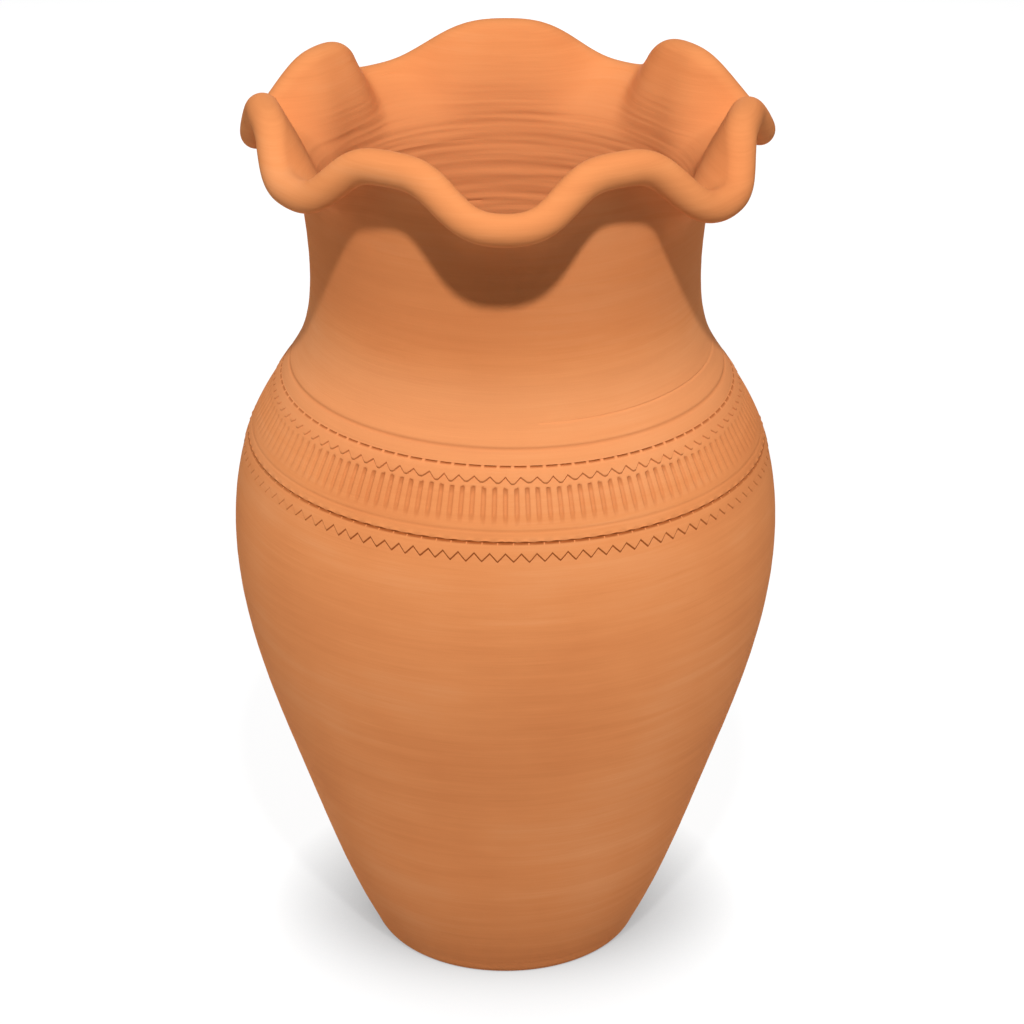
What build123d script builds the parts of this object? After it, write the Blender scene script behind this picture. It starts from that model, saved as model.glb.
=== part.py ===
# Terracotta water jar: a body built up in courses, a pinked and fluted band and a ruffled mouth.
#
# The jar stands on the ground with its axis on Z, and the origin is the middle of its underside.
# It is made as a potter makes one: a floor disc, then five courses of wall, each with a bevelled
# edge that laps over the course below, a coil round the mouth, and three thin strips for the band.
# The front of the jar faces -Y, where one lobe of the ruffle hangs.

import os
from math import cos, pi, radians, sin, sqrt

from build123d import *

# Outline of the body: the belly's radius, and how far inside it the wall is at each other turn
belly_radius = 151.4
rest_inset = 78.4
foot_inset = 72.4
low_inset = 33.4
band_inset = 12.3
shoulder_inset = 27.0
collar_inset = 38.0
neck_inset = 45.1
throat_inset = 42.9

# Outline of the body: how far each turn lies above the one before it
foot_height = 8.0
low_rise = 102.0
belly_rise = 146.0
band_rise = 64.0
shoulder_rise = 26.1
collar_rise = 18.9
neck_rise = 40.0
throat_rise = 35.0
foot_slope_share = 0.5
throat_slope_share = 0.12

# Wall, floor and the bevelled seams between courses
wall = 10.0
floor_thickness = 14.0
floor_cove = 9.0
slip = 0.05
seam_slope_share = 0.5

# Ruffled edge of the mouth: the middle of its coil, measured from the top of the neck
lobe_count = 7
ruffle_overhang = 24.9
ruffle_stand = 52.3
radius_swing = 7.7
height_swing = 13.2
fullness_share = 1.18

# Wall of the mouth: degrees that it leans out at the edge, and how it gets there from the throat
mouth_wall = 9.0
mean_lean = 44
lean_swing = 17
flare_reach_shares = (0.0, 0.07, 0.36)
flare_rise_shares = (0.0, 0.36, 0.74)

# Coil round the mouth: it caps the edge of the wall and laps down over its outside
coil_radius = 8.5
coil_seat = 5.0
coil_turns = (0, 60, 120, 180, 240)

# Band of three laid-on strips, from the shoulder's turn down to the tips of the lower teeth
upper_margin = 4.9
upper_tooth_length = 3.6
fluted_height = 30.0
lower_margin = 6.0
lower_tooth_length = 4.3
tooth_pitch = 8.2

# Strips: how deep their bed is, and how far their edges lie under or stand over the wall
bed_depth = 2.0
tucked_depth = 0.5
under_ledge_depth = 1.0
upper_tooth_proud = 0.5
ledge_proud = 0.4
lower_tooth_proud = 0.7

# Flutes of the middle strip: each is a pointed groove that runs out at its foot
flute_pitch = 5.8
flute_width = 3.0
flute_depth = 1.1
flute_top_margin = 1.6
flute_foot_margin = 6.0
flute_foot_proud = 0.1
ridge_height = 0.6

overrun = 3.0
points_per_lobe = 6
search_steps = 40

os.makedirs("parts", exist_ok=True)

# Turns of the outline, as radius and height
rest_radius = belly_radius - rest_inset
foot_radius = belly_radius - foot_inset
low_height = foot_height + low_rise
belly_height = low_height + belly_rise
band_height = belly_height + band_rise
shoulder_height = band_height + shoulder_rise
collar_height = shoulder_height + collar_rise
neck_height = collar_height + neck_rise
throat_height = neck_height + throat_rise
foot_turn = (foot_radius, foot_height)
low_turn = (belly_radius - low_inset, low_height)
belly_turn = (belly_radius, belly_height)
band_turn = (belly_radius - band_inset, band_height)
shoulder_turn = (belly_radius - shoulder_inset, shoulder_height)
collar_turn = (belly_radius - collar_inset, collar_height)
neck_turn = (belly_radius - neck_inset, neck_height)
throat_turn = (belly_radius - throat_inset, throat_height)
turns_up = [low_turn, belly_turn, band_turn, shoulder_turn, collar_turn, neck_turn, throat_turn]

# Section of the whole wall, which all its courses are cut from
end_tangents = ((foot_slope_share, 1), (throat_slope_share, 1))
seam_rise = wall * seam_slope_share
inner_foot = (foot_radius - wall, floor_thickness)
inner_turns = [(radius - wall, height) for radius, height in turns_up]
inner_turns[-1] = (inner_turns[-1][0], inner_turns[-1][1] + seam_rise)

with BuildSketch(Plane.XZ) as section:
    with BuildLine():
        outside = Spline(foot_turn, *turns_up, tangents=end_tangents)
        inside = Spline(inner_foot, *inner_turns, tangents=end_tangents)
        Line(outside @ 1, inside @ 1)
        Polyline(inside @ 0, (0, floor_thickness), (0, 0), (rest_radius, 0))
        TangentArc(outside @ 0, (rest_radius, 0), tangent=-(outside % 0))
    make_face()
    fillet(section.vertices().sort_by_distance(inner_foot)[0], radius=floor_cove)


def outside_radius(height):
    """Outside radius of the wall at a height, found by halving along the outline."""
    low, high = 0.0, 1.0
    for _ in range(search_steps):
        middle = (low + high) / 2
        if (outside @ middle).Y < height:
            low = middle
        else:
            high = middle
    return (outside @ low).X


def zone(lower, upper):
    """Corners of the space between two seams, which rise inwards from turns of the outline."""
    near = min(lower[0], upper[0]) - 2 * wall
    far = belly_radius + overrun
    corners = []
    for (radius, height), reaches in ((lower, (near, far)), (upper, (far, near))):
        for reach in reaches:
            corners.append((reach, height + (radius - reach) * seam_slope_share))
    return corners


# Floor disc: a flat slab with a rounded foot edge and a bevelled rim that carries the wall
with BuildPart() as floor_disc:
    with BuildSketch(Plane.XZ):
        add(section.sketch_local)
        with BuildLine():
            Polyline(*zone(foot_turn, throat_turn), close=True)
        make_face(mode=Mode.SUBTRACT)
    revolve(axis=Axis.Z)
floor_disc.part.label = "floor_disc"
export_step(floor_disc.part, "parts/floor_disc.step")

# Foot course: leans out from the floor
with BuildPart() as foot_course:
    with BuildSketch(Plane.XZ):
        add(section.sketch_local)
        with BuildLine():
            Polyline(*zone(foot_turn, low_turn), close=True)
        make_face(mode=Mode.INTERSECT)
    revolve(axis=Axis.Z)
foot_course.part.label = "foot_course"
export_step(foot_course.part, "parts/foot_course.step")

# Belly course: swells to the widest part of the jar
with BuildPart() as belly_course:
    with BuildSketch(Plane.XZ):
        add(section.sketch_local)
        with BuildLine():
            Polyline(*zone(low_turn, belly_turn), close=True)
        make_face(mode=Mode.INTERSECT)
    revolve(axis=Axis.Z)
belly_course.part.label = "belly_course"
export_step(belly_course.part, "parts/belly_course.step")


# Points of the band: a height on the wall, and how far the point stands out from it
def on_wall(height, stand):
    return (outside_radius(height) + stand, height)


def part_way(first, last, share):
    """A point on the straight line between two points of the section."""
    return tuple(start + (end - start) * share for start, end in zip(first, last))


upper_tip_height = shoulder_height - upper_margin - upper_tooth_length
ledge_height = shoulder_height - upper_margin - fluted_height
lower_tip_height = ledge_height - lower_margin - lower_tooth_length
bed_top = on_wall(shoulder_height, -bed_depth)
bed_middle = on_wall((shoulder_height + ledge_height) / 2, -bed_depth)
bed_ledge = on_wall(ledge_height, -bed_depth)
bed_bottom = on_wall(lower_tip_height, 0)
under_teeth = on_wall(upper_tip_height, -tucked_depth)

# Shoulder course: closes in from the belly, with a shallow bed for the band's strips
with BuildPart() as shoulder_course:
    with BuildSketch(Plane.XZ):
        add(section.sketch_local)
        with BuildLine():
            Polyline(*zone(belly_turn, collar_turn), close=True)
        make_face(mode=Mode.INTERSECT)
        with BuildLine():
            ThreePointArc(bed_top, bed_middle, bed_ledge)
            Polyline(
                bed_ledge,
                on_wall(ledge_height, -under_ledge_depth - slip),
                bed_bottom,
                on_wall(lower_tip_height, overrun),
                on_wall(shoulder_height, overrun),
                bed_top,
            )
        make_face(mode=Mode.SUBTRACT)
    revolve(axis=Axis.Z)
shoulder_course.part.label = "shoulder_course"
export_step(shoulder_course.part, "parts/shoulder_course.step")

# Neck course: the narrow collar between shoulder and mouth
with BuildPart() as neck_course:
    with BuildSketch(Plane.XZ):
        add(section.sketch_local)
        with BuildLine():
            Polyline(*zone(collar_turn, throat_turn), close=True)
        make_face(mode=Mode.INTERSECT)
    revolve(axis=Axis.Z)
neck_course.part.label = "neck_course"
export_step(neck_course.part, "parts/neck_course.step")


# Ruffled mouth: the edge swings between low lobes that stand out and high crests that stand in
def swing(turn):
    """How far the ruffle is out at an angle from the front: 1 on a lobe and -1 on a crest."""
    return sin(fullness_share * cos(lobe_count * turn)) / sin(fullness_share)


def edge_point(turn, along, across):
    """Radius and height of a point near the edge, from the middle of the coil.

    Along runs up the leaning wall, and across runs square to it, towards the inside.
    """
    lean = radians(mean_lean + lean_swing * swing(turn))
    radius = throat_turn[0] + ruffle_overhang + radius_swing * swing(turn)
    height = throat_height + ruffle_stand - height_swing * swing(turn)
    radius += along * sin(lean) - across * cos(lean)
    height += along * cos(lean) + across * sin(lean)
    return radius, height


def ring(point_at):
    """A closed smooth line round the mouth, through even steps of a formula of the angle."""
    count = lobe_count * points_per_lobe
    points = []
    for index in range(count):
        turn = 2 * pi * index / count
        radius, height = point_at(turn)
        points.append((radius * sin(turn), -radius * cos(turn), height))
    steps = [index / count for index in range(count + 1)]
    return Wire([Edge.make_spline(points, periodic=True, parameters=steps)])


def edge_ring(along, across):
    return ring(lambda turn: edge_point(turn, along, across))


def flare_ring(start, along, across, step):
    """A ring of the wall, some steps of the way from a point of the throat to a line by the edge."""

    def point_at(turn):
        radius, height = edge_point(turn, along, across)
        return (
            start[0] + (radius - start[0]) * flare_reach_shares[step],
            start[1] + (height - start[1]) * flare_rise_shares[step],
        )

    return ring(point_at)


def walled(surfaces):
    """A solid whose sides are lofted through rings, where neighbouring sides share a ring."""
    faces = []
    for rings in surfaces:
        faces += Shell.make_loft(rings, ruled=len(rings) == 2).faces()
    return Solid(Shell(faces))


# Shared lines of the mouth and its coil: the seat on the wall's edge, and the lap outside it
outer_face = coil_radius - mouth_wall
coil_lap = sqrt(coil_radius**2 - outer_face**2)
seat_inside = edge_ring(-coil_seat, coil_radius)
seat_outside = edge_ring(-coil_seat, outer_face)
lap_end = edge_ring(-coil_lap, outer_face)
seat_surfaces = [[lap_end, seat_outside], [seat_outside, seat_inside]]

outer_start = (throat_turn[0], throat_height + slip)
inner_start = (throat_turn[0] - wall, throat_height + seam_rise + slip)
flare_outside = []
flare_inside = []
for step in range(len(flare_rise_shares)):
    flare_outside.append(flare_ring(outer_start, -coil_lap, outer_face, step))
    flare_inside.append(flare_ring(inner_start, -coil_seat, coil_radius, step))

# Mouth course: flares from a round throat into the seven-lobed ruffle
mouth_surfaces = [
    [*flare_outside, lap_end],
    *seat_surfaces,
    [seat_inside, *reversed(flare_inside)],
    [flare_inside[0], flare_outside[0]],
]
with BuildPart() as mouth_course:
    add(walled(mouth_surfaces))
mouth_course.part.label = "mouth_course"
export_step(mouth_course.part, "parts/mouth_course.step")

# Lip coil: a round roll that follows the ruffle
coil_rings = []
for degrees_round in coil_turns:
    round_angle = radians(degrees_round)
    coil_rings.append(edge_ring(coil_radius * sin(round_angle), coil_radius * cos(round_angle)))
with BuildPart() as lip_coil:
    add(walled([[seat_inside, *coil_rings, lap_end], *seat_surfaces]))
lip_coil.part.label = "lip_coil"
export_step(lip_coil.part, "parts/lip_coil.step")


# Pinked strips: a thin wedge of clay whose lower edge is cut into pointed teeth
def tooth_ring(root, tip, count):
    """A closed line round the band that goes to the root and the tip of each tooth in turn."""
    points = []
    for index in range(count):
        for (radius, height), half_step in ((root, 0), (tip, 1)):
            turn = pi * (2 * index + half_step) / count
            points.append((radius * sin(turn), -radius * cos(turn), height))
    return Wire.make_polygon(points, close=True)


def pinked(top_edge, outer_tip, inner_tip, margin, tooth_length):
    """Side surfaces of a pinked strip that thins to an edge at its top."""
    root_share = margin / (margin + tooth_length)
    count = round(2 * pi * outer_tip[0] / tooth_pitch)
    top_ring = tooth_ring(top_edge, top_edge, count)
    outer_teeth = tooth_ring(part_way(top_edge, outer_tip, root_share), outer_tip, count)
    inner_teeth = tooth_ring(part_way(top_edge, inner_tip, root_share), inner_tip, count)
    return [[top_ring, outer_teeth], [outer_teeth, inner_teeth], [inner_teeth, top_ring]]


# Upper tooth strip: its top edge is tucked under the shoulder, and it lies on the fluted strip
with BuildPart() as upper_tooth_strip:
    upper_surfaces = pinked(
        on_wall(shoulder_height, -tucked_depth),
        on_wall(upper_tip_height, upper_tooth_proud),
        on_wall(upper_tip_height, slip - tucked_depth),
        upper_margin,
        upper_tooth_length,
    )
    add(walled(upper_surfaces))
upper_tooth_strip.part.label = "upper_tooth_strip"
export_step(upper_tooth_strip.part, "parts/upper_tooth_strip.step")

# Ridge of the roller that presses one flute: it sinks in at the top and lifts out at the foot
flute_top = under_teeth[1] - flute_top_margin
flute_foot = ledge_height + flute_foot_margin
ridge_share = (flute_depth + ridge_height) / flute_depth
with BuildPart() as roller_ridge:
    ends = (
        (on_wall(flute_top, -tucked_depth), flute_depth),
        (on_wall(flute_foot, flute_foot_proud), 0),
    )
    for (radius, height), depth in ends:
        with BuildSketch(Plane((radius, 0, height), x_dir=(0, 1, 0), z_dir=(0, 0, 1))):
            with BuildLine():
                half_width = flute_width / 2 * ridge_share
                Polyline(
                    (0, depth),
                    (half_width, depth - flute_depth - ridge_height),
                    (-half_width, depth - flute_depth - ridge_height),
                    close=True,
                )
            make_face()
    loft(ruled=True)

# Fluted strip: its top lies under the upper teeth, and its foot stands over the lower strip
flute_count = round(2 * pi * bed_middle[0] / flute_pitch)
with BuildPart() as fluted_strip:
    with BuildSketch(Plane.XZ):
        with BuildLine():
            Polyline(
                bed_top,
                on_wall(shoulder_height, -tucked_depth - slip),
                under_teeth,
                on_wall(flute_foot, flute_foot_proud),
                on_wall(ledge_height, ledge_proud),
                bed_ledge,
            )
            ThreePointArc(bed_ledge, bed_middle, bed_top)
        make_face()
    revolve(axis=Axis.Z)
    with PolarLocations(0, flute_count):
        add(roller_ridge.part, mode=Mode.SUBTRACT)
fluted_strip.part.label = "fluted_strip"
export_step(fluted_strip.part, "parts/fluted_strip.step")

# Lower tooth strip: its top is under the ledge, and its teeth lie out over the shoulder
with BuildPart() as lower_tooth_strip:
    lower_surfaces = pinked(
        on_wall(ledge_height, -under_ledge_depth),
        on_wall(lower_tip_height, lower_tooth_proud),
        on_wall(lower_tip_height, slip),
        lower_margin,
        lower_tooth_length,
    )
    add(walled(lower_surfaces))
lower_tooth_strip.part.label = "lower_tooth_strip"
export_step(lower_tooth_strip.part, "parts/lower_tooth_strip.step")
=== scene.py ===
# Terracotta water jar with a ruffled mouth and a pinked, fluted band.
# Lengths of the jar are in millimetres, and a mesh is turned into metres when it is made.
# Lengths of the clay's look and of the studio are in metres, as shaders and lamps take them.
# Angles go round the jar from its front, at -Y, towards +X.

import math

import bpy
import numpy as np
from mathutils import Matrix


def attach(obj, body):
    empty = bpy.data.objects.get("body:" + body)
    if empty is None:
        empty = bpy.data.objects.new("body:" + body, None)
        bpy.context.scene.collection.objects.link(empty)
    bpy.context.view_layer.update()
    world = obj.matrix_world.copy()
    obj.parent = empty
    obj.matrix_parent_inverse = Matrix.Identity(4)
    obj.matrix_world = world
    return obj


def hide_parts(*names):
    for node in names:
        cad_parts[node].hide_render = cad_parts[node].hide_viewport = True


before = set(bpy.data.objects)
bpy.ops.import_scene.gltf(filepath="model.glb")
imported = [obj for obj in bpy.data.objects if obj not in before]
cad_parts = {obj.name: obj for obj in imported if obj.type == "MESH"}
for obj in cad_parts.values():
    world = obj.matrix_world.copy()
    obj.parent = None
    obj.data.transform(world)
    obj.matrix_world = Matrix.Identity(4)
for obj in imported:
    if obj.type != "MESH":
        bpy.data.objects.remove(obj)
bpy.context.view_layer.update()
print("frame loaded")

metre = 0.001  # one millimetre in the scene's own unit
sharpFrom = {"terracotta": 38.0, "band": 42.0}  # the angle from which an edge stays crisp


# Node trees: sockets that stand in sums, and one way for every node to get into a tree


class Wire:
    def __init__(self, bench, socket):
        self.bench = bench
        self.socket = socket

    def other(self, name):
        return Wire(self.bench, self.socket.node.outputs[name])

    def maths(self, operation, *values):
        inputs = {place: value for place, value in enumerate((self, *values))}
        return self.bench.add("ShaderNodeMath", {"operation": operation}, inputs)

    def __add__(self, value):
        return self.maths("ADD", value)

    def __radd__(self, value):
        return self.maths("ADD", value)

    def __mul__(self, value):
        return self.maths("MULTIPLY", value)

    def __rmul__(self, value):
        return self.maths("MULTIPLY", value)

    def __sub__(self, value):
        return self.maths("SUBTRACT", value)

    def __rsub__(self, value):
        return self.maths("MULTIPLY", -1.0).maths("ADD", value)

    def __truediv__(self, value):
        return self.maths("DIVIDE", value)

    def __abs__(self):
        return self.maths("ABSOLUTE")


class Bench:
    def __init__(self, tree):
        self.tree = tree
        tree.nodes.clear()

    def plug(self, socket, value):
        if isinstance(value, Wire):
            self.tree.links.new(value.socket, socket)
        else:
            socket.default_value = value

    def add(self, kind, settings=None, inputs=None, output=0):
        node = self.tree.nodes.new(kind)
        for key, value in (settings or {}).items():
            if key == "stops":
                for place, (position, colour) in enumerate(value):
                    if place >= len(node.color_ramp.elements):
                        node.color_ramp.elements.new(position)
                    node.color_ramp.elements[place].position = position
                    node.color_ramp.elements[place].color = colour
            else:
                setattr(node, key, value)
        for key, value in (inputs or {}).items():
            self.plug(node.inputs[key], value)
        return Wire(self, node.outputs[output]) if node.outputs else None

    def mix(self, factor, first, second):
        return self.add("ShaderNodeMix", {"data_type": "RGBA"}, {0: factor, 6: first, 7: second}, 2)

    def between(self, wire, low, high, bottom=0.0, top=1.0):  # a smooth step from low to high
        settings = {"interpolation_type": "SMOOTHSTEP"}
        inputs = {0: wire, 1: low, 2: high, 3: bottom, 4: top}
        return self.add("ShaderNodeMapRange", settings, inputs)

    def named(self, name, kind="FLOAT"):
        return self.add("GeometryNodeInputNamedAttribute", {"data_type": kind}, {"Name": name})

    def scaled(self, vector, factor):
        settings = {"operation": "SCALE"}
        return self.add("ShaderNodeVectorMath", settings, {0: vector, "Scale": factor})

    def summed(self, vector, *others):
        for other in others:
            vector = self.add("ShaderNodeVectorMath", {"operation": "ADD"}, {0: vector, 1: other})
        return vector

    def grain(self, vector, scale, detail=2.0, seed=0.0, roughness=0.5):
        inputs = {"Vector": vector, "W": seed, "Scale": scale, "Detail": detail}
        inputs["Roughness"] = roughness
        return self.add("ShaderNodeTexNoise", {"noise_dimensions": "4D"}, inputs)


def shapingTree(title, sizes, shape):  # a tree that moves each point of a mesh by a rule
    tree = bpy.data.node_groups.new(title, "GeometryNodeTree")
    bench = Bench(tree)
    tree.interface.new_socket("Mesh", in_out="INPUT", socket_type="NodeSocketGeometry")
    for label in sizes:
        tree.interface.new_socket(label, in_out="INPUT", socket_type="NodeSocketFloat")
    tree.interface.new_socket("Clay", in_out="INPUT", socket_type="NodeSocketMaterial")
    tree.interface.new_socket("Mesh", in_out="OUTPUT", socket_type="NodeSocketGeometry")
    given = bench.add("NodeGroupInput")
    place, hollowShade = shape(bench, {label: given.other(label) for label in sizes})
    # the hollow mark carries painted shade for the clay
    marks = {"data_type": "FLOAT", "domain": "POINT"}
    values = {"Geometry": given, "Name": "hollowShade", "Value": hollowShade}
    mesh = bench.add("GeometryNodeStoreNamedAttribute", marks, values)
    mesh = bench.add("GeometryNodeSetPosition", None, {"Geometry": mesh, "Position": place})
    mesh = bench.add("GeometryNodeRealizeInstances", None, {"Geometry": mesh})
    values = {"Geometry": mesh, "Material": given.other("Clay")}
    mesh = bench.add("GeometryNodeSetMaterial", None, values)
    bench.add("NodeGroupOutput", None, {"Mesh": mesh})
    return tree


def shaped(piece, tree, sizes, clay):  # runs a tree on a piece, and keeps the result as its mesh
    modifier = piece.modifiers.new("shape", "NODES")
    modifier.node_group = tree
    for item in tree.interface.items_tree:
        if item.in_out == "INPUT" and item.name in sizes:
            modifier[item.identifier] = float(sizes[item.name])
        if item.in_out == "INPUT" and item.name == "Clay":
            modifier[item.identifier] = clay
    depsgraph = bpy.context.evaluated_depsgraph_get()
    mesh = bpy.data.meshes.new_from_object(piece.evaluated_get(depsgraph), depsgraph=depsgraph)
    piece.modifiers.clear()
    piece.data = mesh
    return piece


# Meshes: rings of points round the jar's axis


def turnedMesh(title, radii, heights, closed=True, marks=None):
    # radii and heights: one row for each turn, or one row for all; closed: the section is a loop
    columns = len(radii) if np.ndim(radii) == 2 else walls["columns"]
    radii = np.broadcast_to(radii, (columns, np.shape(radii)[-1]))
    heights = np.broadcast_to(heights, radii.shape)
    turns = (2 * np.pi * np.arange(columns) / columns)[:, None] * np.ones(radii.shape)
    rows = radii.shape[1]
    points = np.stack([radii * np.sin(turns), -radii * np.cos(turns), heights], -1) * metre
    faces = []
    for column in range(columns):
        start, beside = column * rows, (column + 1) % columns * rows
        for row in range(rows if closed else rows - 1):
            above = (row + 1) % rows
            faces.append((start + row, beside + row, beside + above, start + above))
    mesh = bpy.data.meshes.new(title)
    mesh.from_pydata(points.reshape(-1, 3), [], faces)
    for name, values in (marks or {}).items():
        if name.endswith("Way"):  # a direction for each point, not a number
            layer = mesh.attributes.new(name, "FLOAT_VECTOR", "POINT")
            layer.data.foreach_set("vector", np.broadcast_to(values, (*radii.shape, 3)).ravel())
        else:
            layer = mesh.attributes.new(name, "FLOAT", "POINT")
            layer.data.foreach_set("value", np.broadcast_to(values, radii.shape).ravel())
    return mesh


def placed(title, mesh):
    piece = bpy.data.objects.new(title, mesh)
    bpy.context.scene.collection.objects.link(piece)
    return piece


def finished(piece, nodes, slot):  # smooth shading with crisp edges, then the piece goes under the root and its frame parts are hidden
    piece.data.shade_smooth()
    piece.data.set_sharp_from_angle(angle=math.radians(sharpFrom[slot]))
    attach(piece, "root")
    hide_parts(*nodes)
    print("made", piece.name, len(piece.data.polygons), "faces")
    return piece


# Walls: the outline of the body, and the courses that it is cut into

outline = {
    "footPoint": (79.0, 8.0),
    "restRadius": 73.0,
    "stations": [
        (118.0, 110.0),
        (151.4, 256.0),
        (139.1, 320.0),
        (124.4, 346.1),
        (113.4, 365.0),
        (106.3, 405.0),
        (108.5, 440.0),
    ],
    "footSlope": (0.5, 1.0),
    "throatSlope": (0.12, 1.0),
    "wall": 10.0,
    "floor": 14.0,
    "seamSlope": 0.5,
}
walls = {
    "columns": 384,
    "rowStep": 1.3,
    "fineStep": 0.45,
    "lineSteps": 81,
    "bandHeight": 323.0,  # the middle of the band, where the rings fade out
    "bandReach": 26.0,
    "floorRing": 40.0,
}
throwing = {
    "Ring depth": 0.30,
    "Ring spacing": 7.5,
    "Inner depth": 2.2,
    "Inner spacing": 2.9,
    "Sway depth": 0.5,
    "Seed": 3.0,
}
unevenness = {"rings": 1.3, "sway": 9.0}  # how fast the rings change round the jar, and the sway up it


def smoothLine(points, startSlope, endSlope):  # a smooth line through points, as many small steps
    points = np.array(points, float)
    spans = np.linalg.norm(np.diff(points, axis=0), axis=1)
    rises = np.diff(points, axis=0)
    system = np.eye(len(points))
    target = np.zeros_like(points)
    target[0] = np.array(startSlope) / np.hypot(*startSlope)
    target[-1] = np.array(endSlope) / np.hypot(*endSlope)
    for here in range(1, len(points) - 1):
        before, after = spans[here - 1], spans[here]
        system[here, here - 1 : here + 2] = (after, 2 * (before + after), before)
        target[here] = 3 * (after * rises[here - 1] / before + before * rises[here] / after)
    slopes = np.linalg.solve(system, target)
    share = np.linspace(0, 1, walls["lineSteps"])[:, None]
    pieces = []
    for here, span in enumerate(spans):
        pieces.append(
            points[here] * (1 + 2 * share) * (1 - share) ** 2
            + slopes[here] * span * share * (1 - share) ** 2
            + points[here + 1] * share**2 * (3 - 2 * share)
            + slopes[here + 1] * span * share**2 * (share - 1)
        )
    return np.concatenate(pieces)


seamRise = outline["wall"] * outline["seamSlope"]
outerLine = smoothLine(
    [outline["footPoint"], *outline["stations"]], outline["footSlope"], outline["throatSlope"]
)
innerStations = [(radius - outline["wall"], height) for radius, height in outline["stations"]]
innerStations[-1] = (innerStations[-1][0], innerStations[-1][1] + seamRise)
innerStart = (outline["footPoint"][0] - outline["wall"] - 2, outline["floor"])
innerLine = smoothLine([innerStart, *innerStations], (1.0, 0.9), outline["throatSlope"])


def outerRadius(height):
    return np.interp(height, outerLine[:, 1], outerLine[:, 0])


def innerRadius(height):
    return np.interp(height, innerLine[:, 1], innerLine[:, 0])


def seamInside(height):  # where a seam that starts outside at a height comes out inside
    inside = height
    for _ in range(30):
        inside = height + (outerRadius(height) - innerRadius(inside)) * outline["seamSlope"]
    return float(inside)


def evenRows(low, high, step):
    return np.linspace(low, high, max(2, int(round((high - low) / step)) + 1))


def ridged(bench, size, position, inside, ease):  # the ridges that fingers leave in a turning wall
    parts = bench.add("ShaderNodeSeparateXYZ", None, {0: position})
    flat = bench.add("ShaderNodeCombineXYZ", None, {0: parts, 1: parts.other("Y")})
    outward = bench.add("ShaderNodeVectorMath", {"operation": "NORMALIZE"}, {0: flat})
    around = bench.add("ShaderNodeSeparateXYZ", None, {0: bench.scaled(outward, unevenness["rings"])})
    spacing = size["Ring spacing"] + inside * (size["Inner spacing"] - size["Ring spacing"])
    across = {0: around, 1: around.other("Y"), 2: parts.other("Z") / spacing}
    rings = bench.grain(bench.add("ShaderNodeCombineXYZ", None, across), 1.0, 2.0, size["Seed"])
    across[2] = parts.other("Z") * unevenness["sway"]
    seed = size["Seed"] + 20.0
    sway = bench.grain(bench.add("ShaderNodeCombineXYZ", None, across), 1.0, 0.0, seed)
    depth = size["Ring depth"] + inside * (size["Inner depth"] - size["Ring depth"])
    offset = ((rings - 0.5) * depth + (sway - 0.5) * size["Sway depth"]) * ease
    return bench.summed(position, bench.scaled(outward, offset))


def thrownShape(bench, size):
    position = bench.add("GeometryNodeInputPosition")
    place = ridged(bench, size, position, bench.named("inside"), bench.named("ease"))
    return place, bench.named("hollowShade")


thrownTree = shapingTree("thrownRings", list(throwing), thrownShape)
throwingSizes = {name: value * metre for name, value in throwing.items()}
throwingSizes["Seed"] = throwing["Seed"]


def wallPiece(title, node, low, high, outerRows=None, skin=None):
    if outerRows is None:
        outerRows = evenRows(low, high, walls["rowStep"])
    innerRows = evenRows(seamInside(low), seamInside(high), walls["rowStep"])[::-1]
    count = walls["columns"]
    turns = 2 * np.pi * np.arange(count)[:, None] / count
    outerHeights = np.broadcast_to(outerRows, (count, len(outerRows))).copy()
    shift, hollowShade = 0.0, np.zeros(outerHeights.shape)
    if skin:
        rise, shift, hollowShade = skin(turns, outerHeights)
        outerHeights += rise
    radii = np.hstack([outerRadius(outerHeights) + shift, np.tile(innerRadius(innerRows), (count, 1))])
    heights = np.hstack([outerHeights, np.tile(innerRows, (count, 1))])
    inside = np.hstack([np.zeros(len(outerRows)), np.ones(len(innerRows))])
    fromBand = (heights - walls["bandHeight"]) / walls["bandReach"]
    ease = 1 - np.exp(-(fromBand**4)) * (1 - inside)
    # the ruled line's painted shade goes along as the hollow mark
    hollowShade = np.hstack([hollowShade, np.zeros((count, len(innerRows)))])
    # within carries the painted shade inside the jar
    marks = {"inside": inside, "within": inside, "ease": ease, "hollowShade": hollowShade}
    mesh = turnedMesh(title, radii, heights, marks=marks)
    piece = shaped(placed(title, mesh), thrownTree, throwingSizes, wallClay)
    return finished(piece, [node], "terracotta")


# Clay: one finish for the walls, and a slightly deeper one for the rolled band; both carry painted shade
# and a painted highlight


def paint(red, green, blue):  # a screen colour, 0 to 255, as a shader's own numbers
    shares = [value / 255 for value in (red, green, blue)]
    linear = [v / 12.92 if v <= 0.04045 else ((v + 0.055) / 1.055) ** 2.4 for v in shares]
    return (*linear, 1.0)


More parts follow.
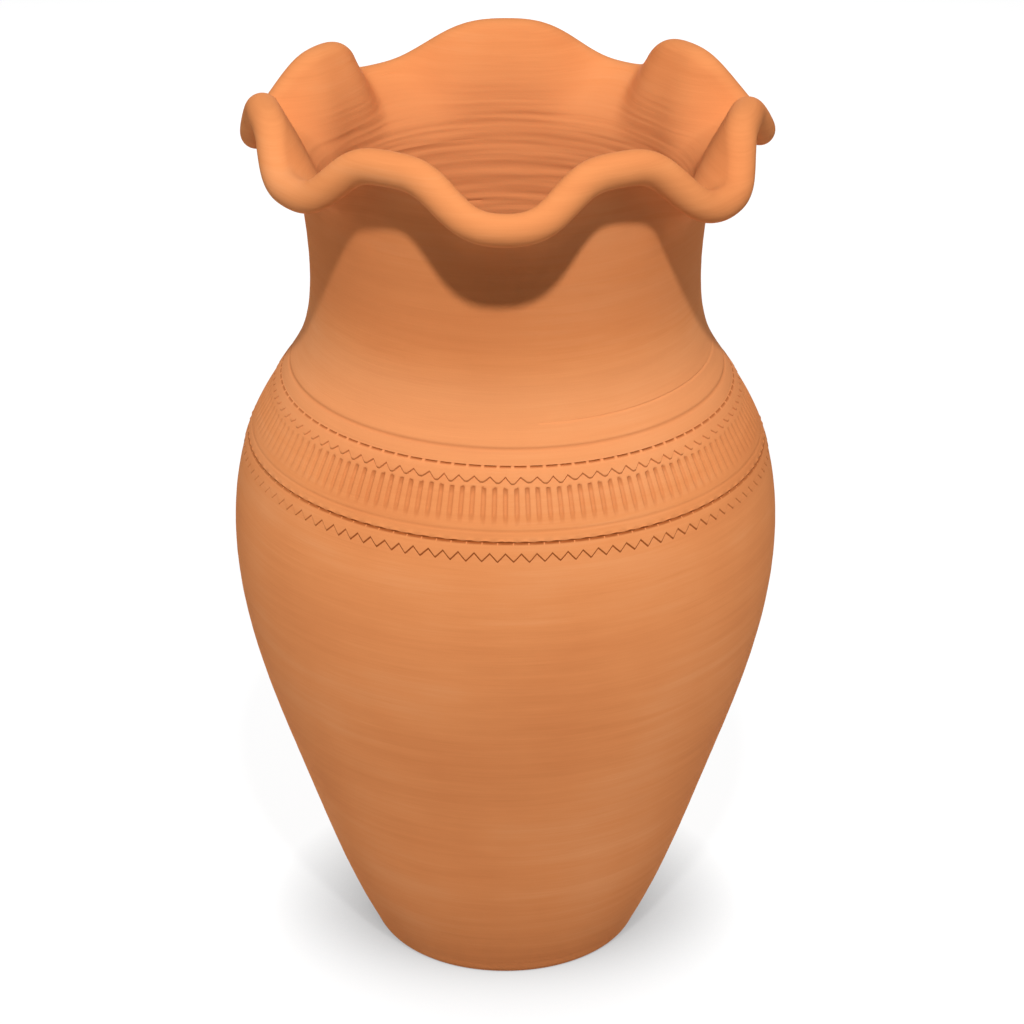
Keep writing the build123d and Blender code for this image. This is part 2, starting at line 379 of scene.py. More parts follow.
clay = {
    "pale": paint(243, 169, 116),
    "middle": paint(233, 148, 90),
    "deep": paint(216, 129, 75),
    # painted shade: the colour of grooves, the ruled line and the strips' lower edges
    "paintedShade": paint(166, 88, 42),
    # painted shade inside the jar, strongest deep in the mouth and gone at the rim
    "inner": paint(220, 144, 93),
    "innerShadeShare": 0.6,
    "sheen": 0.04,
    "roughness": 0.85,
    "unevenRoughness": 0.25,
    "bump": 0.25,
    "bumpHeight": 0.0006,
    "bumpShares": (0.5, 0.5, 0.35),  # of the hairs, the streaks and the dust
    "toneStops": (0.22, 0.5, 0.8),
    "dust": (1500.0, 2.0, 17.0, 0.6),
    "speckRange": (0.62, 0.78),
    "speckShare": 0.16,
    # painted shade: the neck under the lip is mixed towards the deep colour
    "neckShadeZone": (0.388, 0.415, 0.455, 0.485),
    "neckShadeShare": 0.45,
    # painted highlight: a band round the shoulder is mixed towards the pale colour
    "shoulderHighlightZone": (0.325, 0.352, 0.375, 0.4),
    "shoulderHighlightShare": 0.3,
}
clayGrains = {  # fineness sideways and upright, detail, seed, roughness and share of the tone
    "broad": (5.0, 46.0, 4.0, 1.0, 0.55, 0.28),
    "streaks": (11.0, 210.0, 4.0, 5.0, 0.6, 0.28),
    "hairs": (28.0, 1100.0, 3.0, 9.0, 0.6, 0.16),
    "cloud": (9.0, 9.0, 3.0, 13.0, 0.5, 0.5),
}


def clayMaterial(title, look, lighter):
    material = bpy.data.materials.new(title)
    material.use_nodes = True
    bench = Bench(material.node_tree)
    place = bench.add("ShaderNodeTexCoord", None, None, "Object")
    up = bench.add("ShaderNodeSeparateXYZ", None, {0: place}, "Z")

    def zone(low, lowEnd, highStart, high):  # 1 between two heights, and nothing beyond them
        return bench.between(up, low, lowEnd) * (1 - bench.between(up, highStart, high))

    grains, tone = {}, 0.5 + lighter
    for name, (sideways, upright, detail, seed, roughness, share) in clayGrains.items():
        sizes = {0: place, 1: (sideways, sideways, upright)}
        stretched = bench.add("ShaderNodeVectorMath", {"operation": "MULTIPLY"}, sizes)
        grains[name] = bench.grain(stretched, 1.0, detail, seed, roughness)
        tone = (grains[name] - 0.5) * share + tone
    streaks, hairs = grains["streaks"], grains["hairs"]
    dust = bench.grain(place, *look["dust"])
    stops = list(zip(look["toneStops"], (look["deep"], look["middle"], look["pale"])))
    colour = bench.add("ShaderNodeValToRGB", {"stops": stops}, {0: tone}, "Color")
    speck = bench.between(dust, *look["speckRange"], 0.0, look["speckShare"])
    colour = bench.mix(speck, colour, look["deep"])
    # painted highlight on the shoulder
    colour = bench.mix(zone(*look["shoulderHighlightZone"]) * look["shoulderHighlightShare"], colour, look["pale"])
    # painted shade under the lip
    colour = bench.mix(zone(*look["neckShadeZone"]) * look["neckShadeShare"], colour, look["deep"])
    # painted shade inside the jar
    within = bench.add("ShaderNodeAttribute", {"attribute_name": "within"}, None, "Fac")
    colour = bench.mix(within * look["innerShadeShare"], colour, look["inner"])
    # painted shade in grooves, in the ruled line and under the strips' edges
    hollowShade = bench.add("ShaderNodeAttribute", {"attribute_name": "hollowShade"}, None, "Fac")
    colour = bench.mix(hollowShade, colour, look["paintedShade"])
    hairShare, streakShare, dustShare = look["bumpShares"]
    height = hairs * hairShare + streaks * streakShare + dust * dustShare
    settings = {"Strength": look["bump"], "Distance": look["bumpHeight"], "Height": height}
    bump = bench.add("ShaderNodeBump", None, settings, "Normal")
    roughness = look["roughness"] + (streaks - 0.5) * look["unevenRoughness"]
    inputs = {"Base Color": colour, "Roughness": roughness, "Normal": bump}
    inputs["Specular IOR Level"] = look["sheen"]
    surface = bench.add("ShaderNodeBsdfPrincipled", None, inputs)
    bench.add("ShaderNodeOutputMaterial", None, {"Surface": surface})
    return material


wallClay = clayMaterial("wipedTerracotta", clay, 0.0)
bandClay = clayMaterial("rolledTerracotta", clay, -0.02)
print("clay mixed")


# Plain courses of the wall

footPoint = outline["footPoint"]
lowSeam, bellySeam, collarSeam, throatSeam = 110.0, 256.0, 365.0, 440.0
footArc = smoothLine([(outline["restRadius"], 0.0), footPoint], (1.0, 0.05), outline["footSlope"])
topRings = innerStart[0] + 0.5, walls["floorRing"], 0.0
underRings = 0.0, walls["floorRing"], outline["restRadius"] - 2
top = [(radius, outline["floor"]) for radius in topRings]
under = [(radius, 0.0) for radius in underRings]
floorSection = np.array([*under, *footArc[::8], *top])
marks = {"inside": 0.0, "within": 0.0, "ease": 1.0}
mesh = turnedMesh("floorDisc", floorSection[:, 0], floorSection[:, 1], False, marks)
floorDisc = shaped(placed("floorDisc", mesh), thrownTree, throwingSizes, wallClay)
finished(floorDisc, ["floor_disc"], "terracotta")
footCourse = wallPiece("footCourse", "foot_course", footPoint[1], lowSeam)
bellyCourse = wallPiece("bellyCourse", "belly_course", lowSeam, bellySeam)
neckCourse = wallPiece("neckCourse", "neck_course", collarSeam, throatSeam)


# Shoulder, with the bed of the band and the lines ruled over it

band = {
    "top": 346.1,
    "upperRoot": 341.6,
    "upperTip": 338.8,
    "ledge": 311.2,
    "lowerRoot": 305.8,
    "lowerTip": 301.7,
    "bedDepth": 1.5,
    "tilt": 0.0115,
    "tiltRadius": 134.0,
    "tiltHeight": 325.0,
    "tiltReach": 42.0,
}
shoulderLines = {
    "ruled": 353.4,
    "ruledDepth": 0.5,
    "ruledWidth": 0.7,
    "ruledShade": 0.3,
    "lip": 0.25,
    "lipWidth": 0.5,
    "fineFrom": 299.0,
    "fineTo": 356.0,
    "lowStep": 0.6,
    "bedStep": 6.0,
}


def bandRise(turns, heights):  # the band dips a little towards +X, and the wall near it follows
    fade = np.exp(-(((heights - band["tiltHeight"]) / band["tiltReach"]) ** 4))
    return -band["tilt"] * band["tiltRadius"] * np.sin(turns) * fade


def shoulderSkin(turns, heights):
    bed = (heights < band["top"] - 0.02) & (heights > band["lowerRoot"] + 1.0)
    ruled = np.exp(-(((heights - shoulderLines["ruled"]) / shoulderLines["ruledWidth"]) ** 2))
    fromLip = np.abs(heights - band["top"] - shoulderLines["lipWidth"]) / shoulderLines["lipWidth"]
    lip = np.exp(-fromLip) * (heights > band["top"] - 0.02)
    shift = -band["bedDepth"] * bed - shoulderLines["ruledDepth"] * ruled
    shift -= shoulderLines["lip"] * lip
    # the third value is painted shade in the ruled line
    return bandRise(turns, heights), shift, shoulderLines["ruledShade"] * ruled


shoulderRows = np.concatenate(
    [
        evenRows(bellySeam, shoulderLines["fineFrom"], walls["rowStep"])[:-1],
        evenRows(shoulderLines["fineFrom"], band["lowerRoot"] + 0.9, shoulderLines["lowStep"]),
        evenRows(band["lowerRoot"] + 1.2, band["top"] - 0.1, shoulderLines["bedStep"]),
        band["top"] + np.array([0.0, 0.15, 0.4, 0.8, 1.3]),
        evenRows(band["top"] + 2.0, shoulderLines["fineTo"], walls["fineStep"]),
        evenRows(shoulderLines["fineTo"] + 1.0, collarSeam, walls["rowStep"]),
    ]
)
shoulderCourse = wallPiece(
    "shoulderCourse", "shoulder_course", bellySeam, collarSeam, shoulderRows, shoulderSkin
)


# Mouth: lobes that hang out and crests that stand up, in turn round the edge

ruffle = {
    "Radius": 133.5,
    "Swing": 6.5,
    "Height": 492.0,
    "Rise": 13.0,
    "Roll": 8.8,
    "Thickness": 7.0,
    "Inner seat": 5.0,
    "Outer seat": 8.8,
    "Dent depth": 0.5,
    "Throat radius": float(outerRadius(throatSeam)),
    "Throat height": throatSeam,
    "Inner throat radius": float(innerLine[-1, 0]),
    "Inner throat height": float(innerLine[-1, 1]),
    "Throat handle": 0.42,
    "Throat way out": outline["throatSlope"][0] / math.hypot(*outline["throatSlope"]),
    "Throat way up": outline["throatSlope"][1] / math.hypot(*outline["throatSlope"]),
    "Edge handle": 0.38,
    **throwing,
}
handMade = {  # where the potter's fingers left each lobe and crest, in turn from the front
    "lobeAngles": [0.0, 53.6, 105.8, 150.2, 212.6, 257.3, 307.8],
    "lobeRadii": [142.3, 139.1, 140.6, 140.2, 141.9, 136.2, 137.2],
    "lobeHeights": [484.4, 475.8, 475.2, 472.7, 471.8, 475.4, 481.6],
    "crestAngles": [27.1, 79.0, 126.6, 179.6, 236.0, 281.8, 332.3],
    "crestRadii": [127.3, 128.0, 124.7, 124.7, 122.7, 128.9, 128.9],
    "crestHeights": [506.0, 499.8, 500.0, 497.3, 500.3, 503.2, 506.8],
    "fullness": 1.4,
    "plateau": 0.9,
    "lean": 44.0,
    "leanSwing": 17.0,
    "thinner": 0.04,
}
mouthMesh = {
    "columns": 768,
    "wallRows": 60,
    "arcEnd": 235.0,
    "arcRows": 34,
    "lapFoot": 7.9,
    "lapRows": 5,
    "lapOut": 0.5,
    "lapIn": 0.3,
}


def ruffledEdge(columns):  # what changes along the edge: the wave, what is uneven in it, and its ways
    turns = np.degrees(2 * np.pi * np.arange(columns) / columns)
    angles = np.ravel(list(zip(handMade["lobeAngles"], handMade["crestAngles"])))
    count = len(angles)
    angles = np.append(angles, angles[0] + 360)
    before = np.searchsorted(angles, turns, side="right") - 1
    after = (before + 1) % count
    share = (turns - angles[before]) / (angles[before + 1] - angles[before])
    lobeFirst = before % 2 == 0
    fromLobe = np.where(lobeFirst, share, 1 - share) ** handMade["plateau"]
    fullness = handMade["fullness"]
    wave = np.sin(fullness * np.cos(np.pi * fromLobe)) / math.sin(fullness)  # 1 at a lobe, -1 at a crest
    lobe = np.where(lobeFirst, before, after) // 2
    crest = np.where(lobeFirst, after, before) // 2
    made = []
    for name in ("Radii", "Heights"):
        lobes, crests = np.array(handMade["lobe" + name]), np.array(handMade["crest" + name])
        made.append(lobes[lobe] * (1 + wave) / 2 + crests[crest] * (1 - wave) / 2)
    turns = np.radians(turns)
    out = np.stack([np.sin(turns), -np.cos(turns), 0 * turns], 1)
    middle = made[0][:, None] * out + made[1][:, None] * [0.0, 0.0, 1.0]
    path = np.roll(middle, -1, 0) - np.roll(middle, 1, 0)
    path /= np.linalg.norm(path, axis=1, keepdims=True)
    lean = np.radians(handMade["lean"] + handMade["leanSwing"] * wave)[:, None]
    plain = np.sin(lean) * out + np.cos(lean) * [0.0, 0.0, 1.0]
    along = plain - (plain * path).sum(1, keepdims=True) * path
    along /= np.linalg.norm(along, axis=1, keepdims=True)
    return {
        "turn": turns[:, None],
        "wave": wave[:, None],
        "outBy": (made[0] - ruffle["Radius"] - ruffle["Swing"] * wave)[:, None] * metre,
        "upBy": (made[1] - ruffle["Height"] + ruffle["Rise"] * wave)[:, None] * metre,
        "girth": 1 - handMade["thinner"] * wave[:, None],
        "leanWay": plain[:, None],
        "alongWay": along[:, None],
        "acrossWay": np.cross(along, path)[:, None],
    }


def around(bench, turn, radius, height):
    place = {0: radius * turn.maths("SINE"), 1: radius * turn.maths("COSINE") * -1, 2: height}
    return bench.add("ShaderNodeCombineXYZ", None, place)


def onEdge(bench, size, across, along):  # a point of the mouth's section, carried round the ruffle
    turn, wave, girth = bench.named("turn"), bench.named("wave"), bench.named("girth")
    radius = size["Radius"] + size["Swing"] * wave + bench.named("outBy")
    height = size["Height"] - size["Rise"] * wave + bench.named("upBy")
    acrossWay, alongWay = bench.named("acrossWay", "FLOAT_VECTOR"), bench.named("alongWay", "FLOAT_VECTOR")
    steps = bench.scaled(acrossWay, across * girth), bench.scaled(alongWay, along * girth)
    return bench.summed(around(bench, turn, radius, height), *steps)


def mouthShape(bench, size):  # each line of the wall leaves along the throat and arrives along the lean
    turn, share, inside = bench.named("turn"), bench.named("share"), bench.named("inside")
    across = size["Roll"] - size["Thickness"] * (1 - inside)
    seat = size["Outer seat"] + inside * (size["Inner seat"] - size["Outer seat"])
    end, arriveWay = onEdge(bench, size, across, seat * -1), bench.named("leanWay", "FLOAT_VECTOR")
    radius = size["Throat radius"] + inside * (size["Inner throat radius"] - size["Throat radius"])
    height = size["Throat height"] + inside * (size["Inner throat height"] - size["Throat height"])
    start = around(bench, turn, radius, height)
    leaveWay = around(bench, turn, size["Throat way out"], size["Throat way up"])
    reach = bench.add("ShaderNodeVectorMath", {"operation": "DISTANCE"}, {0: start, 1: end}, "Value")
    first = bench.summed(start, bench.scaled(leaveWay, reach * size["Throat handle"]))
    last = bench.summed(end, bench.scaled(arriveWay, reach * size["Edge handle"] * -1))
    rest = 1 - share
    weights = rest * rest * rest, 3 * rest * rest * share, 3 * rest * share * share, share * share * share
    points = [bench.scaled(point, weight) for point, weight in zip((start, first, last, end), weights)]
    return ridged(bench, size, bench.summed(*points), inside, bench.named("ease")), 0.0


def lipShape(bench, size):  # one section of the coil, carried all round
    place = onEdge(bench, size, bench.named("across"), bench.named("along"))
    dents = (bench.grain(place, 55.0, 1.0, size["Seed"] + 40.0) - 0.5) * size["Dent depth"]
    middle = bench.scaled(bench.named("acrossWay", "FLOAT_VECTOR"), dents)
    return bench.summed(place, middle), 0.0


plainSizes = ("Throat handle", "Throat way out", "Throat way up", "Edge handle", "Seed")
ruffleSizes = {name: value if name in plainSizes else value * metre for name, value in ruffle.items()}
edgeMarks = ruffledEdge(mouthMesh["columns"])

share = np.linspace(0, 1, mouthMesh["wallRows"])
upAndDown = np.concatenate([share, share[::-1]])
inside = np.concatenate([np.zeros(len(share)), np.ones(len(share))])
blank = np.full((mouthMesh["columns"], len(inside)), ruffle["Radius"])  # the tree moves every point
marks = {
    **edgeMarks,
    "share": upAndDown,
    "inside": inside,
    "ease": (1 - upAndDown**3) * (1 - inside * upAndDown),
    # painted shade inside the mouth, fading towards the rim
    "within": inside * (1 - upAndDown**1.5),
}
mesh = turnedMesh("mouthCourse", blank, ruffle["Height"], marks=marks)
mouthCourse = placed("mouthCourse", mesh)
shaped(mouthCourse, shapingTree("ruffledMouth", list(ruffle), mouthShape), ruffleSizes, wallClay)
finished(mouthCourse, ["mouth_course"], "terracotta")

roll, wallFace = ruffle["Roll"], ruffle["Roll"] - ruffle["Thickness"]
arc = np.radians(np.linspace(0.0, mouthMesh["arcEnd"], mouthMesh["arcRows"]))
lap = np.linspace(0, 1, mouthMesh["lapRows"])[1:, None]
lapStart = roll * np.array([math.cos(arc[-1]), math.sin(arc[-1])])
lapWay = np.array([-math.sin(arc[-1]), math.cos(arc[-1])])
lapFoot = np.array([wallFace, -mouthMesh["lapFoot"]])
lapReach = np.linalg.norm(lapFoot - lapStart)
lapRows = (
    (1 - lap) ** 3 * lapStart
    + 3 * (1 - lap) ** 2 * lap * (lapStart + lapWay * lapReach * mouthMesh["lapOut"])
    + 3 * (1 - lap) * lap**2 * (lapFoot + np.array([0.0, lapReach * mouthMesh["lapIn"]]))
    + lap**3 * lapFoot
)
coilSection = np.concatenate(
    [
        [(roll, -ruffle["Inner seat"]), (roll, -ruffle["Inner seat"] / 2)],
        roll * np.stack([np.cos(arc), np.sin(arc)], 1),
        lapRows,
        [(wallFace, -ruffle["Outer seat"])],
    ]
)[::-1]
blank = np.full((mouthMesh["columns"], len(coilSection)), ruffle["Radius"])
section = coilSection * metre
marks = {**edgeMarks, "across": section[:, 0], "along": section[:, 1], "within": 0.0}
lipRoll = placed("lipRoll", turnedMesh("lipRoll", blank, ruffle["Height"], marks=marks))
shaped(lipRoll, shapingTree("coiledLip", list(ruffle), lipShape), ruffleSizes, wallClay)
finished(lipRoll, ["lip_coil"], "terracotta")


# Band: two pinked strips and a fluted one, laid in the shoulder's bed

bandPress = {  # how hard the roller was pressed at each angle, and how much hangs on it
    "angles": [-180, -120, -90, -62, -46, -30, 0, 30, 46, 60, 85, 120, 180],
    "shares": [0.85, 0.8, 0.35, 0.3, 0.75, 1.0, 1.0, 1.0, 0.85, 0.45, 0.35, 0.8, 0.85],
    "stand": 0.7,
    "shade": 0.4,
}
upperTeeth = {
    "Teeth": 98,
    "Top": band["top"] + 0.6,
    "Root": band["upperRoot"],
    "Tip": band["upperTip"],
    "Top stand": -0.55,
    "Tip stand": 0.5,
    "Rise share": 0.3,
    "Thickness": 1.0,
    "Bevel": 1.3,
    "Edge shade": 0.55,
    "Flat tip": 0.2,
    "Swell": 0.3,
    "Dash": 0.8,
    "Gap": 0.3,
    "Line": 1.9,
    "Line shade": 1.0,
    "Ragged": 0.9,
    "Wander": 2.4,
    "Seed": 11,
}
lowerTeeth = {
    "Teeth": 111,
    "Top": band["ledge"] + 0.3,
    "Root": band["lowerRoot"],
    "Tip": band["lowerTip"],
    "Top stand": -1.3,
    "Tip stand": 0.7,
    "Rise share": 0.22,
    "Thickness": 1.0,
    "Bevel": 2.0,
    "Edge shade": 0.95,
    "Flat tip": 0.03,
    "Swell": 0.1,
    "Dash": 0.2,
    "Gap": 0.1,
    "Line": 2.4,
    "Line shade": 1.0,
    "Ragged": 0.4,
    "Wander": 1.6,
    "Seed": 23,
}
flutes = {
    "Flutes": 146,
    "Top": band["upperRoot"] + 1.5,
    "Ledge": band["ledge"],
    "Flute top": 336.3,
    "Flute bottom": 318.6,
    "Top stand": -0.5,
    "Ledge stand": 0.4,
    "Thickness": 0.95,
    "Bevel": 1.2,
    "Depth": 0.95,
    "Width": 0.5,
    "Head": 0.9,
    "Foot": 0.4,
    "Fade": 6.0,
    "Groove shade": 0.16,
    "Side shade": 0.22,
    "Top shade": 0.4,
    "Top shade from": 1.2,
    "Top shade to": 4.5,
    "Edge shade": 0.9,
    "Line height": 315.9,
    "Line depth": 0.35,
    "Line core": 0.1,
    "Line width": 0.8,
    "Line shade": 0.105,
    "Bead": 0.35,
    "Ledge from": 0.955,
    "Ragged": 0.8,
    "Wander": 1.2,
    "Seed": 37,
}
edgeReach = 0.15  # the share of a strip's thickness over which its edge carries painted shade
grooveFlat = 0.45  # the share of a flute's width that its flat bottom takes
tipGrowth = 0.6  # how much of a tooth's height comes only towards its tip
beadsEach = 0.75  # beads of the ledge to a flute
driftScale = 9.0
plainNumbers = (  # what isn't a length
    "Teeth",
    "Flutes",
    "Rise share",
    "Edge shade",
    "Line shade",
    "Groove shade",
    "Side shade",
    "Top shade",
    "Ledge from",
    "Flat tip",
    "Gap",
    "Width",
    "Seed",
)
bandHeights = np.linspace(band["lowerTip"] - 6, band["top"] + 6, 60)
fromMiddle = (bandHeights - walls["bandHeight"]) * metre
bandFit = np.polyfit(fromMiddle, outerRadius(bandHeights) * metre, 4)[::-1]
wallTerms = {f"Wall {power}": value for power, value in enumerate(bandFit)}
worst = np.abs(np.polyval(bandFit[::-1], fromMiddle) / metre - outerRadius(bandHeights))
print("band fits the wall within", round(float(worst.max()), 3), "mm")


def onWall(bench, size, angle, height, stand):  # a point of the band from its angle, height and stand
    tilted = height - angle.maths("SINE") * (band["tilt"] * band["tiltRadius"] * metre)
    above = tilted - walls["bandHeight"] * metre
    wall = size["Wall 4"]
    for power in (3, 2, 1, 0):
        wall = wall * above + size[f"Wall {power}"]
    radius = wall + stand
    place = {0: radius * angle.maths("SINE"), 1: radius * angle.maths("COSINE") * -1, 2: tilted}
    return bench.add("ShaderNodeCombineXYZ", None, place)


def wandering(bench, size, turn):  # the angle of a mark, a little uneven from one to the next
    circle = {0: turn.maths("COSINE") * driftScale, 1: turn.maths("SINE") * driftScale}
    drift = bench.grain(bench.add("ShaderNodeCombineXYZ", None, circle), 1.0, 1.0, size["Seed"])
    return turn + (drift - 0.5) * size["Wander"] / (band["tiltRadius"] * metre)


def eachOne(bench, size, number):  # a steady random share for each mark
    key = {"Vector": bench.add("ShaderNodeCombineXYZ", None, {0: number.maths("FLOOR")}), "W": size["Seed"]}
    return bench.add("ShaderNodeTexWhiteNoise", {"noise_dimensions": "4D"}, key, "Value")


def partly(value, share):  # a value that counts for only a share
    return value * share + (1 - share)


def pinkedShape(bench, size):
    turn, across = bench.named("turn"), bench.named("across")
    under, press = bench.named("under"), bench.named("press")
    angle = wandering(bench, size, turn)
    number = turn * size["Teeth"] / (2 * math.pi)
    fromTip = abs(number.maths("FRACT") * 2 - 1)
    slope = ((fromTip - size["Flat tip"]) / (1 - size["Flat tip"])).maths("MAXIMUM", 0.0)
    tip = size["Tip"] + (eachOne(bench, size, number) - 0.5) * size["Ragged"]
    edge = tip + (size["Root"] - tip) * slope
    height = size["Top"] + (edge - size["Top"]) * across
    rise = bench.between(across, 0.0, size["Rise share"])
    stand = size["Top stand"] * (1 - rise) + size["Tip stand"] * rise * partly(across, tipGrowth)
    pad = (across * math.pi).maths("SINE") * (1 - fromTip * fromTip) * size["Swell"]
    near = 1 - bench.between(size["Top"] - height, size["Line"] * 0.6, size["Line"])
    dash = bench.between(fromTip, size["Gap"] * 0.4, size["Gap"]) * near
    stand = stand + (pad - dash * size["Dash"]) * press
    lifted = stand * partly(press, bandPress["stand"]) - under * size["Thickness"]
    # painted shade along the tooth edge and in the dashed line under the strip's top
    edgeShade = bench.between(under, 0.0, edgeReach) * size["Edge shade"]
    lineShade = dash * size["Line shade"] * partly(press, bandPress["shade"])
    hollowShade = (edgeShade * press + lineShade).maths("MINIMUM", 1.0)
    return onWall(bench, size, angle, height - under * size["Bevel"], lifted), hollowShade


def flutedShape(bench, size):
    turn, across = bench.named("turn"), bench.named("across")
    under, press = bench.named("under"), bench.named("press")
    height = size["Top"] + (size["Ledge"] - size["Top"]) * across
    number = turn * size["Flutes"] / (2 * math.pi)
    fromFlute = abs(number.maths("FRACT") * 2 - 1)
    uneven = (eachOne(bench, size, number) - 0.5) * size["Ragged"]
    angle = wandering(bench, size, turn)
    groove = bench.between(fromFlute, 1 - size["Width"], 1 - size["Width"] * grooveFlat)
    start = size["Flute top"] + uneven
    groove = groove * (1 - bench.between(height, start - size["Head"], start))
    foot = size["Flute bottom"] + uneven
    groove = groove * bench.between(height, foot - size["Foot"], foot + size["Fade"])
    fromLine = abs(height - size["Line height"])
    line = 1 - bench.between(fromLine, size["Line core"], size["Line width"])
    beads = (number * (2 * math.pi * beadsEach)).maths("SINE") * size["Bead"]
    nearLedge = bench.between(across, size["Ledge from"], 1.0)
    stand = size["Top stand"] + (size["Ledge stand"] - size["Top stand"]) * across
    stand = stand - groove * size["Depth"] * press - line * size["Line depth"] + beads * nearLedge
    # painted shade at the flute's top, on its sides and floor, in the line below it and along the edge
    top = groove * bench.between(height, start - size["Top shade to"], start - size["Top shade from"])
    sides = groove * (1 - groove) * 4
    shade = groove * size["Groove shade"] + sides * size["Side shade"] + top * size["Top shade"]
    shade = shade * press + line * size["Line shade"]
    shade = shade + bench.between(under, 0.0, edgeReach) * size["Edge shade"]
    height = height + beads * nearLedge - under * size["Bevel"]
    place = onWall(bench, size, angle, height, stand - under * size["Thickness"])
    return place, shade.maths("MINIMUM", 1.0)


def stripPiece(title, node, shape, sizes, columns, faceRows):
    # a strip's section: down its face, round its edge and back up underneath
    turn = 2 * np.pi * np.arange(columns)[:, None] / columns
    front = np.linspace(0, 1, faceRows)
    section = np.concatenate([front, [1.0, 1.0, 1.0, 0.5, 0.0]])
    depth = np.concatenate([np.zeros(faceRows), [edgeReach, 0.6, 1.0, 1.0, 1.0]])
    shown = (np.degrees(turn) + 180) % 360 - 180
    press = np.interp(shown, bandPress["angles"], bandPress["shares"])
    marks = {"turn": turn, "across": section, "under": depth, "press": press}
    blank = np.full((columns, len(section)), band["tiltRadius"])
    flip = {name: np.broadcast_to(value, blank.shape)[:, ::-1] for name, value in marks.items()}
    mesh = turnedMesh(title, blank, band["top"], marks=flip)
    labels = [*sizes, *wallTerms]
    tree = shapingTree(title + "Shape", labels, shape)
    given = {name: value if name in plainNumbers else value * metre for name, value in sizes.items()}
    piece = shaped(placed(title, mesh), tree, {**given, **wallTerms}, bandClay)
    return finished(piece, [node], "band")


toothColumns, fluteColumns = 14, 11  # to one tooth or one flute
columns = upperTeeth["Teeth"] * toothColumns
stripPiece("upperToothStrip", "upper_tooth_strip", pinkedShape, upperTeeth, columns, 18)
columns = flutes["Flutes"] * fluteColumns
stripPiece("flutedStrip", "fluted_strip", flutedShape, flutes, columns, 56)
columns = lowerTeeth["Teeth"] * toothColumns
stripPiece("lowerToothStrip", "lower_tooth_strip", pinkedShape, lowerTeeth, columns, 20)


# Studio: a pale floor, one lamp high in front, an even fill and the photograph's camera

studio = {
    "lampPower": 116.0,
    "lampSize": 0.2,
    "lampPlace": (0.1, -2.238, 3.076),
    "lampAim": 0.32,
    "sideSize": 0.8,
    "sideAim": 0.3,
    "leftPower": 3.3,
    "leftPlace": (-1.3, -0.05, 0.5),
    "rightPower": 2.9,
    "rightPlace": (1.3, -0.05, 0.5),
    "backPower": 7.0,
    "backPlace": (0.0, 1.7, 0.45),
    "fillLow": 0.02,
    "fillHigh": 0.3,
    "fillFrom": 0.2,
    "fillTo": 0.9,
    "paper": 0.75,
    "paperClose": 0.42,
    "paperFar": 0.12,
    "closeFrom": 0.14,
    "closeReach": 0.3,
    "farFrom": 0.45,
    "farReach": 0.95,
    "paperShown": 0.1,
    "paperGlow": 0.94,
    "contactShadow": 0.85,
    "contactFront": 0.3,
    "frontFrom": 0.0,
    "frontReach": -0.12,
    "contactReach": 0.06,
    "cameraPlace": (0.0, -1.7948, 1.1406),
    "cameraTilt": 26.18,
    "lens": 125.0,
    "shift": 0.00635,
}


def seenStraight(bench):  # 1 for what the camera sees, and for what gloss and glass show of it
    rays = bench.add("ShaderNodeLightPath")
    seen = rays.maths("MAXIMUM", rays.other("Is Glossy Ray"))
    return seen.maths("MAXIMUM", rays.other("Is Transmission Ray"))


def grey(value):
    return (value, value, value, 1.0)


floorMesh = bpy.data.meshes.new("studioFloor")
floorMesh.from_pydata([(-4, -4, 0), (4, -4, 0), (4, 6, 0), (-4, 6, 0)], [], [(0, 1, 2, 3)])
studioFloor = placed("studioFloor", floorMesh)
floorPaint = bpy.data.materials.new("paperWhite")
floorPaint.use_nodes = True
bench = Bench(floorPaint.node_tree)
place = bench.add("ShaderNodeTexCoord", None, None, "Object")
away = bench.add("ShaderNodeVectorMath", {"operation": "LENGTH"}, {0: place}, "Value")
whiteness = bench.between(
    away, studio["closeFrom"], studio["closeReach"], studio["paperClose"], studio["paper"]
)
whiteness = whiteness * bench.between(away, studio["farFrom"], studio["farReach"], 1.0, studio["paperFar"])
paper = bench.add("ShaderNodeBsdfDiffuse", None, {"Color": whiteness})
shownPaper = bench.add("ShaderNodeBsdfDiffuse", None, {"Color": grey(studio["paperShown"])})
reach = {"Distance": studio["contactReach"]}
openness = bench.add("ShaderNodeAmbientOcclusion", {"samples": 16}, reach, "AO")
forward = bench.add("ShaderNodeSeparateXYZ", None, {0: place}, "Y")
shade = bench.between(forward, studio["frontReach"], studio["frontFrom"], studio["contactFront"], 1.0)
shade = shade * studio["contactShadow"]
strength = (1 - (1 - openness) * shade) * studio["paperGlow"]
glow = bench.add("ShaderNodeEmission", None, {"Color": grey(1.0), "Strength": strength})
both = bench.add("ShaderNodeAddShader", None, {0: shownPaper, 1: glow})
shown = bench.add("ShaderNodeMixShader", None, {0: seenStraight(bench), 1: paper, 2: both})
bench.add("ShaderNodeOutputMaterial", None, {"Surface": shown})
studioFloor.data.materials.append(floorPaint)


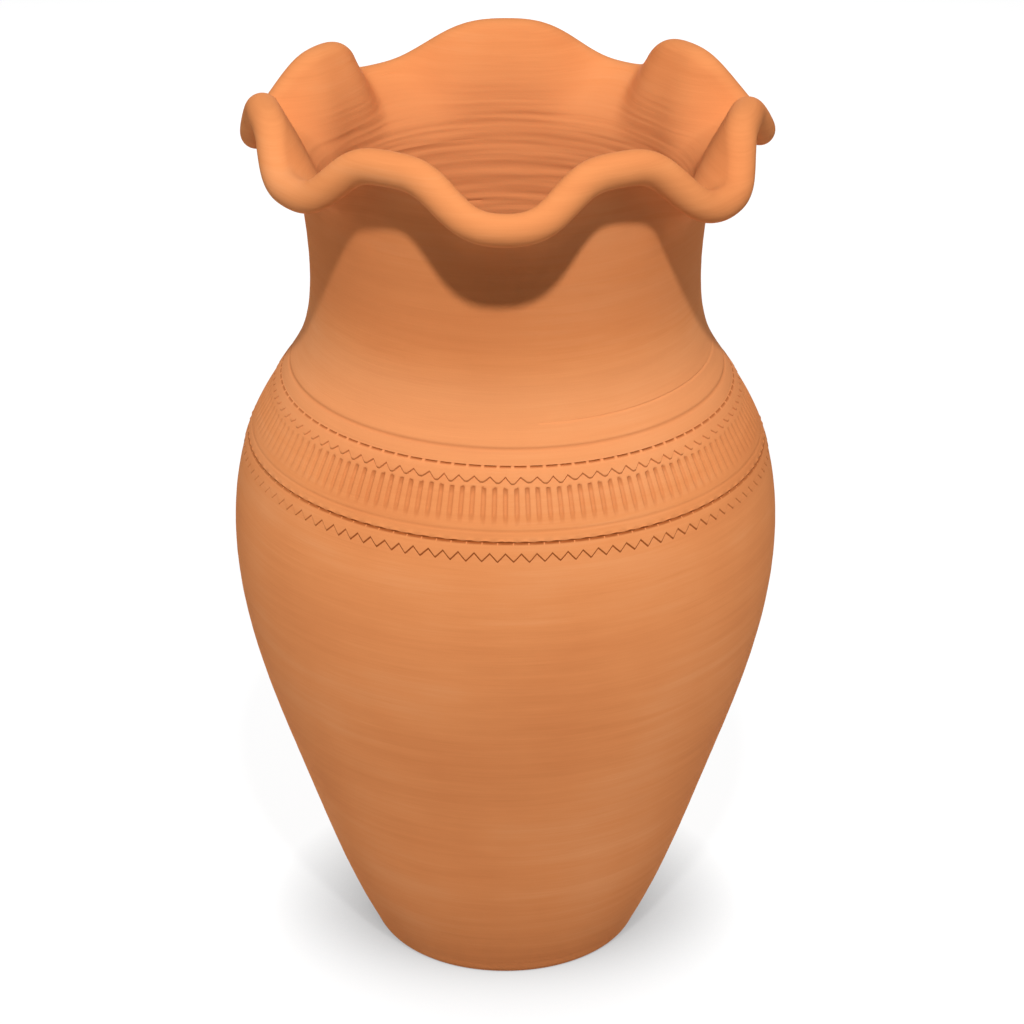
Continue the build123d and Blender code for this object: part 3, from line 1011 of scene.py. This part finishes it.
def lamp(title, size, power, place, aim):  # a round soft lamp that looks at a point on the jar's axis
    data = bpy.data.lights.new(title, "AREA")
    data.shape = "DISK"
    data.size = size
    data.energy = power
    piece = bpy.data.objects.new(title, data)
    piece.location = place
    way = np.array([0.0, 0.0, aim]) - np.array(place)
    across = math.hypot(way[0], way[1])
    piece.rotation_euler = (math.atan2(across, -way[2]), 0.0, math.atan2(-way[0], way[1]))
    bpy.context.scene.collection.objects.link(piece)


lamp("keyLamp", studio["lampSize"], studio["lampPower"], studio["lampPlace"], studio["lampAim"])
lamp("leftLamp", studio["sideSize"], studio["leftPower"], studio["leftPlace"], studio["sideAim"])
lamp("rightLamp", studio["sideSize"], studio["rightPower"], studio["rightPlace"], studio["sideAim"])
lamp("backLamp", studio["sideSize"], studio["backPower"], studio["backPlace"], studio["sideAim"])

world = bpy.data.worlds.new("studioFill")
bpy.context.scene.world = world
world.use_nodes = True
bench = Bench(world.node_tree)
way = bench.add("ShaderNodeTexCoord", None, None, "Generated")
height = bench.add("ShaderNodeSeparateXYZ", None, {0: way}, "Z")
ends = studio["fillFrom"], studio["fillTo"], studio["fillLow"], studio["fillHigh"]
strength = bench.between(height, *ends)
fill = bench.add("ShaderNodeBackground", None, {"Color": grey(1.0), "Strength": strength})
white = bench.add("ShaderNodeBackground", None, {"Color": grey(1.0), "Strength": 1.0})
sky = bench.add("ShaderNodeMixShader", None, {0: seenStraight(bench), 1: fill, 2: white})
bench.add("ShaderNodeOutputWorld", None, {"Surface": sky})

cameraData = bpy.data.cameras.new("photoCamera")
cameraData.lens = studio["lens"]
cameraData.sensor_width = 36.0
cameraData.shift_x = studio["shift"]
photoCamera = bpy.data.objects.new("photoCamera", cameraData)
photoCamera.location = studio["cameraPlace"]
photoCamera.rotation_euler = (math.radians(90 - studio["cameraTilt"]), 0.0, 0.0)
bpy.context.scene.collection.objects.link(photoCamera)
bpy.context.scene.camera = photoCamera
bpy.context.scene.view_settings.view_transform = "Standard"
print("studio set")
